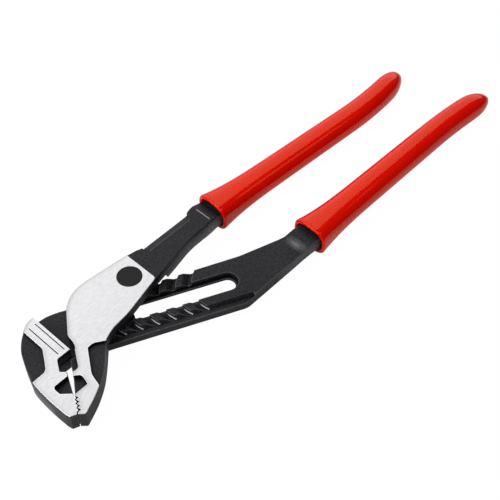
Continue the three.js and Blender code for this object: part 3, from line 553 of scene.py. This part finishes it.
def lever_finish(name, mark, highlights_and_scuff, reflection_part):
    """Charcoal forged steel whose highest faces are ground bright, with a plain etched mark on them. Painted
    light on it: highlights on edges and lines, shade in hollows, under top edges and on one side of the ground
    faces, and a reflection of the floor on the walls.
    """
    material, tree, shader, coordinates = new_material(name)
    x, y, z = add(tree, "ShaderNodeSeparateXYZ", {0: coordinates}).outputs
    grain = use_group(tree, FINE_GRAIN, coordinates, **FORGED_GRAIN)
    brushed = use_group(tree, BRUSHED_STREAKS, coordinates, **STEEL_STREAKS)
    eased = eased_normal(tree, LEVER_EDGE)
    edges_and_hollows = use_group(tree, EDGE_RUB_HIGHLIGHT_AND_HOLLOW_SHADE, Width=EDGE_RUB_HIGHLIGHT_WIDTH, Reach=HOLLOW_SHADE_REACH)
    edge = edges_and_hollows["Edge"]
    wall = use_group(tree, WALL_REFLECTION_AND_SHADOW, coordinates, Top=FACE - WALL_TOP, Foot=FACE - WALL_FOOT)
    pale = reflection_part(tree, x, y)
    ground = fade(tree, z, FACE - GROUND_FADE[0], FACE - GROUND_FADE[1])
    bare = times(tree, ground, math_node(tree, "SUBTRACT", 1.0, mark(tree, x, y)))
    speckle = times(tree, grain["Speckle"], mix_value(tree, grain["Cloud"], *CLOUD_ON_SPECKLE))
    # Painted shade: the charcoal turns darker in hollows.
    forged = blend(tree, edges_and_hollows["HollowShade"], blend(tree, speckle, CHARCOAL, CHARCOAL_LIGHT), CHARCOAL)
    # Painted reflection of the floor: the walls turn paler grey toward their foot.
    walls = times(tree, wall["Pale"], pale, mix_value(tree, speckle, *SPECKLE_ON_WALL))
    forged = blend(tree, walls, forged, WALL_REFLECTION_GREY)
    # Painted shadow: a dark band under the walls' top edges.
    top_edge_shadow = times(tree, wall["TopEdgeShadow"], pale)
    forged = blend(tree, top_edge_shadow, forged, CHARCOAL)
    not_pale = math_node(tree, "SUBTRACT", 1.0, pale)
    # Edges turn paler grey: some rubbing and a painted highlight.
    edge_rub_and_highlight = times(tree, edge, mix_value(tree, speckle, *SPECKLE_ON_EDGE), not_pale)
    rubbed_and_highlit = blend(tree, edge_rub_and_highlight, forged, EDGE_RUB_AND_HIGHLIGHT)
    # Painted highlight lines, and on the lower lever a scuff, in paler steel.
    rubbed_and_highlit = blend(tree, highlights_and_scuff(tree, x, y, z), rubbed_and_highlit, SCUFF_AND_HIGHLIGHT_STEEL)
    etched = blend(tree, ground, rubbed_and_highlit, ETCHED_BLACK)
    steel = blend(tree, brushed["Streak"], GROUND_STEEL, GROUND_STEEL_PALE)
    # Painted shade: the ground faces darken toward their edges on one side.
    rim = use_group(tree, RIM_SHADE, Reach=RIM_REACH)["Rim"]
    steel = blend(tree, rim, steel, STEEL_RIM_SHADE)
    # Painted highlight: the ground faces' edges turn almost white.
    bright = blend(tree, times(tree, edge, math_node(tree, "SUBTRACT", 1.0, rim)), steel, STEEL_EDGE_HIGHLIGHT)
    link(tree, blend(tree, bare, etched, bright), shader, "Base Color")
    # The painted shadow band is metallic, like the ground faces.
    link(tree, math_node(tree, "MAXIMUM", bare, top_edge_shadow), shader, "Metallic")
    dull = mix_value(tree, speckle, *FORGED_ROUGHNESS)
    shine = mix_value(tree, brushed["Streak"], *STEEL_ROUGHNESS)
    rough = add(tree, "ShaderNodeMix", {"Factor": bare})
    tree.links.new(dull, rough.inputs[2])
    tree.links.new(shine, rough.inputs[3])
    link(tree, rough.outputs[0], shader, "Roughness")
    shader.inputs["Specular IOR Level"].default_value = FORGED_SPECULAR
    forged_height = times(tree, grain["Height"], math_node(tree, "SUBTRACT", 1.0, ground))
    ground_height = times(tree, brushed["Height"], STEEL_BUMP_SHARE, ground)
    height = math_node(tree, "ADD", forged_height, ground_height)
    link(tree, bump(tree, height, *FORGED_BUMP, eased), shader, "Normal")
    return material


def hardware_finish():
    """Plated pivot hardware: satin steel with turning marks and a little darkening."""
    material, tree, shader, coordinates = new_material("plated_steel")
    grain = use_group(tree, FINE_GRAIN, coordinates, **PLATED_GRAIN)
    brushed = use_group(tree, BRUSHED_STREAKS, coordinates, **PLATED_STREAKS)
    link(tree, blend(tree, grain["Cloud"], PLATED_DARK, PLATED_PALE), shader, "Base Color")
    shader.inputs["Metallic"].default_value = 1.0
    link(tree, mix_value(tree, brushed["Streak"], *PLATED_ROUGHNESS), shader, "Roughness")
    eased = eased_normal(tree, HARDWARE_EDGE)
    link(tree, bump(tree, grain["Height"], *PLATED_BUMP, eased), shader, "Normal")
    return material


def red_dip_finish():
    """Thick glossy red dip with a faint unevenness in its skin."""
    material, tree, shader, coordinates = new_material("red_dip")
    grain = use_group(tree, FINE_GRAIN, coordinates, **DIP_GRAIN)
    link(tree, blend(tree, grain["Cloud"], DIP_RED, DIP_RED_PALE), shader, "Base Color")
    link(tree, mix_value(tree, grain["Cloud"], *DIP_ROUGHNESS), shader, "Roughness")
    shader.inputs["Specular IOR Level"].default_value = DIP_SPECULAR
    shader.inputs["Specular Tint"].default_value = DIP_TINT
    link(tree, bump(tree, grain["Cloud"], *DIP_BUMP), shader, "Normal")
    return material


# Pieces

def set_material(piece, material):
    piece.data.materials.clear()
    piece.data.materials.append(material)


def grip_section(run, rim):
    """Half width, half thickness, sideways shift and squareness of a grip's skin at a distance from its rim."""
    flare = max(0.0, 1 - run / COLLAR_LENGTH) ** FLARE
    length = rim["length"]
    taper = run / length * (BODY_WIDTH - END_WIDTH)
    into = max(0.0, (run - length + END_LENGTH) / END_LENGTH)
    dome = math.sqrt(max(0.0, 1 - into ** 2))
    lip = max(0.0, RIM_ROUND - run)
    roll = RIM_ROUND - math.sqrt(RIM_ROUND ** 2 - lip ** 2)
    width = BODY_WIDTH - taper + (COLLAR_WIDTH - BODY_WIDTH) * flare
    thick = BODY_THICK + (COLLAR_THICK - BODY_THICK) * flare
    shift = rim["bend"] * max(0.0, (run - BEND_START) / (length - BEND_START)) ** 2
    return run, width / 2 * dome - roll, thick / 2 * dome - roll, shift, OVAL + (COLLAR_OVAL - OVAL) * flare


def grip_sections(rim):
    """Sections from the mouth's floor, out round the rim and along the skin to the round end."""
    mouth_width = COLLAR_WIDTH / 2 - MOUTH_WALL
    mouth_thick = COLLAR_THICK / 2 - MOUTH_WALL
    sections = []
    for share in MOUTH_FLOOR_SHARES:
        sections.append((MOUTH_DEPTH, mouth_width * share, mouth_thick * share, 0.0, COLLAR_OVAL))
    for share in MOUTH_WALL_SHARES:
        sections.append((MOUTH_DEPTH * share, mouth_width, mouth_thick, 0.0, COLLAR_OVAL))
    for i in range(RIM_STEPS):
        sections.append(grip_section(RIM_ROUND * (1 - math.cos(math.pi / 2 * i / RIM_STEPS)), rim))
    dome_start = rim["length"] - END_LENGTH
    for i in range(BODY_STEPS):
        run = RIM_ROUND + (dome_start - RIM_ROUND) * (i / BODY_STEPS) ** STEP_GROWTH
        sections.append(grip_section(run, rim))
    for i in range(END_STEPS):
        sections.append(grip_section(dome_start + END_LENGTH * math.sin(math.pi / 2 * i / END_STEPS), rim))
    return sections


def oval_point(angle, half_width, half_thick, oval):
    power = 2 / oval
    across = math.copysign(abs(math.cos(angle)) ** power, math.cos(angle)) * half_width
    up = math.copysign(abs(math.sin(angle)) ** power, math.sin(angle)) * half_thick
    return across, up


def grip(name, rim, node, body, material):
    """A dipped sleeve with an open collar, lofted over its tang and closed at its round end."""
    mesh = bpy.data.meshes.new(name)
    loft = bmesh.new()
    cos_turn, sin_turn = math.cos(rim["turn"]), math.sin(rim["turn"])
    rings = []
    for run, half_width, half_thick, shift, oval in grip_sections(rim):
        ring = []
        for k in range(GRIP_SIDES):
            across, up = oval_point(2 * math.pi * k / GRIP_SIDES, half_width, half_thick, oval)
            across += shift
            x = rim["at"][0] + run * cos_turn - across * sin_turn
            y = rim["at"][1] + run * sin_turn + across * cos_turn
            ring.append(loft.verts.new(place(x, y, GRIP_AXIS + up)))
        rings.append(ring)
    for one, two in zip(rings, rings[1:]):
        for k in range(GRIP_SIDES):
            after = (k + 1) % GRIP_SIDES
            loft.faces.new((one[k], one[after], two[after], two[k]))
    loft.faces.new(list(reversed(rings[0])))
    loft.faces.new(rings[-1])
    bmesh.ops.recalc_face_normals(loft, faces=loft.faces)
    for face in loft.faces:
        face.smooth = True
    loft.to_mesh(mesh)
    loft.free()
    piece = bpy.data.objects.new(name, mesh)
    bpy.context.scene.collection.objects.link(piece)
    skin = piece.modifiers.new("smooth_skin", "SUBSURF")
    skin.levels = 1
    skin.render_levels = 1
    set_material(piece, material)
    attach(piece, body)
    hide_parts(node)
    return piece


def dress_levers():
    finishes = {
        "upper_lever": (disc_mark, neck_highlight_lines, upper_neck),
        "lower_lever": (strip_mark, lower_highlights_and_scuff, lower_neck),
    }
    for node, (mark, highlights_and_scuff, reflection_part) in finishes.items():
        piece = frame["nodes"][node]
        set_material(piece, lever_finish(node + "_finish", mark, highlights_and_scuff, reflection_part))


def dress_hardware():
    finish = hardware_finish()
    for node in ("pivot_stud", "pivot_washer", "pivot_nut"):
        piece = frame["nodes"][node]
        set_material(piece, finish)


def make_grips():
    finish = red_dip_finish()
    grip("upper_grip_skin", UPPER_RIM, "upper_grip", "upper_lever", finish)
    grip("lower_grip_skin", LOWER_RIM, "lower_grip", "lower_lever", finish)


# Studio

def floor_finish():
    """Pale floor that shows white to the camera and keeps a soft shadow."""
    material, tree, shader, _ = new_material("pale_floor")
    shader.inputs["Base Color"].default_value = FLOOR_GREY
    shader.inputs["Roughness"].default_value = FLOOR_ROUGHNESS
    shader.inputs["Specular IOR Level"].default_value = 0.0
    glow = add(tree, "ShaderNodeEmission", {"Color": WHITE, "Strength": FLOOR_WHITE}).outputs[0]
    ray = add(tree, "ShaderNodeLightPath").outputs
    mirrored = math_node(tree, "MULTIPLY", ray["Is Glossy Ray"], FLOOR_IN_GLOSS)
    seen = math_node(tree, "ADD", ray["Is Camera Ray"], ray["Is Transmission Ray"])
    seen = math_node(tree, "ADD", seen, mirrored, clamp=True)
    share = math_node(tree, "MULTIPLY", seen, FLOOR_GLOW)
    mixed = add(tree, "ShaderNodeMixShader", {0: share, 1: shader.outputs[0], 2: glow}).outputs[0]
    tree.links.new(mixed, tree.nodes["Material Output"].inputs["Surface"])
    material.cycles.emission_sampling = "NONE"
    return material


def floor():
    mesh = bpy.data.meshes.new("floor")
    sheet = bmesh.new()
    bmesh.ops.create_grid(sheet, x_segments=1, y_segments=1, size=FLOOR_SIZE / 2)
    bmesh.ops.translate(sheet, verts=sheet.verts, vec=(0, 0, -FLOOR_DROP))
    sheet.to_mesh(mesh)
    sheet.free()
    piece = bpy.data.objects.new("floor", mesh)
    bpy.context.scene.collection.objects.link(piece)
    set_material(piece, floor_finish())


def softbox(name, at, aim, size, power, reflected=True):
    """An area lamp that faces a point, hidden from the camera and, for a fill, from reflections."""
    lamp = bpy.data.lights.new(name, "AREA")
    lamp.shape = "RECTANGLE"
    lamp.size, lamp.size_y = size
    lamp.energy = power
    box = bpy.data.objects.new(name, lamp)
    box.location = at
    box.rotation_euler = (Vector(aim) - Vector(at)).to_track_quat("-Z", "Y").to_euler()
    box.visible_camera = False
    box.visible_glossy = reflected
    bpy.context.scene.collection.objects.link(box)


def studio():
    floor()
    world = bpy.data.worlds.new("studio")
    bpy.context.scene.world = world
    world.use_nodes = True
    tree = world.node_tree
    ground = tree.nodes["Background"]
    ground.inputs["Color"].default_value = SURROUNDINGS
    white = add(tree, "ShaderNodeBackground", {"Color": WHITE, "Strength": 1.0}).outputs[0]
    seen = add(tree, "ShaderNodeLightPath").outputs["Is Camera Ray"]
    mixed = add(tree, "ShaderNodeMixShader", {0: seen, 1: ground.outputs[0], 2: white}).outputs[0]
    tree.links.new(mixed, tree.nodes["World Output"].inputs["Surface"])
    for name, lamp in LAMPS.items():
        softbox(name, **lamp)


def camera():
    lens = bpy.data.cameras.new("camera")
    lens.lens = CAMERA_LENS
    lens.sensor_fit = "HORIZONTAL"
    lens.sensor_width = SENSOR
    eye = bpy.data.objects.new("camera", lens)
    eye.location = place(CAMERA_AT[0], CAMERA_AT[1], FACE + CAMERA_AT[2])
    aim = place(CAMERA_AIM[0], CAMERA_AIM[1], FACE + CAMERA_AIM[2])
    eye.rotation_euler = (aim - eye.location).to_track_quat("-Z", "Y").to_euler()
    bpy.context.scene.collection.objects.link(eye)
    bpy.context.scene.camera = eye


dress_levers()
dress_hardware()
make_grips()
studio()
camera()
bpy.context.scene.view_settings.view_transform = "Standard"
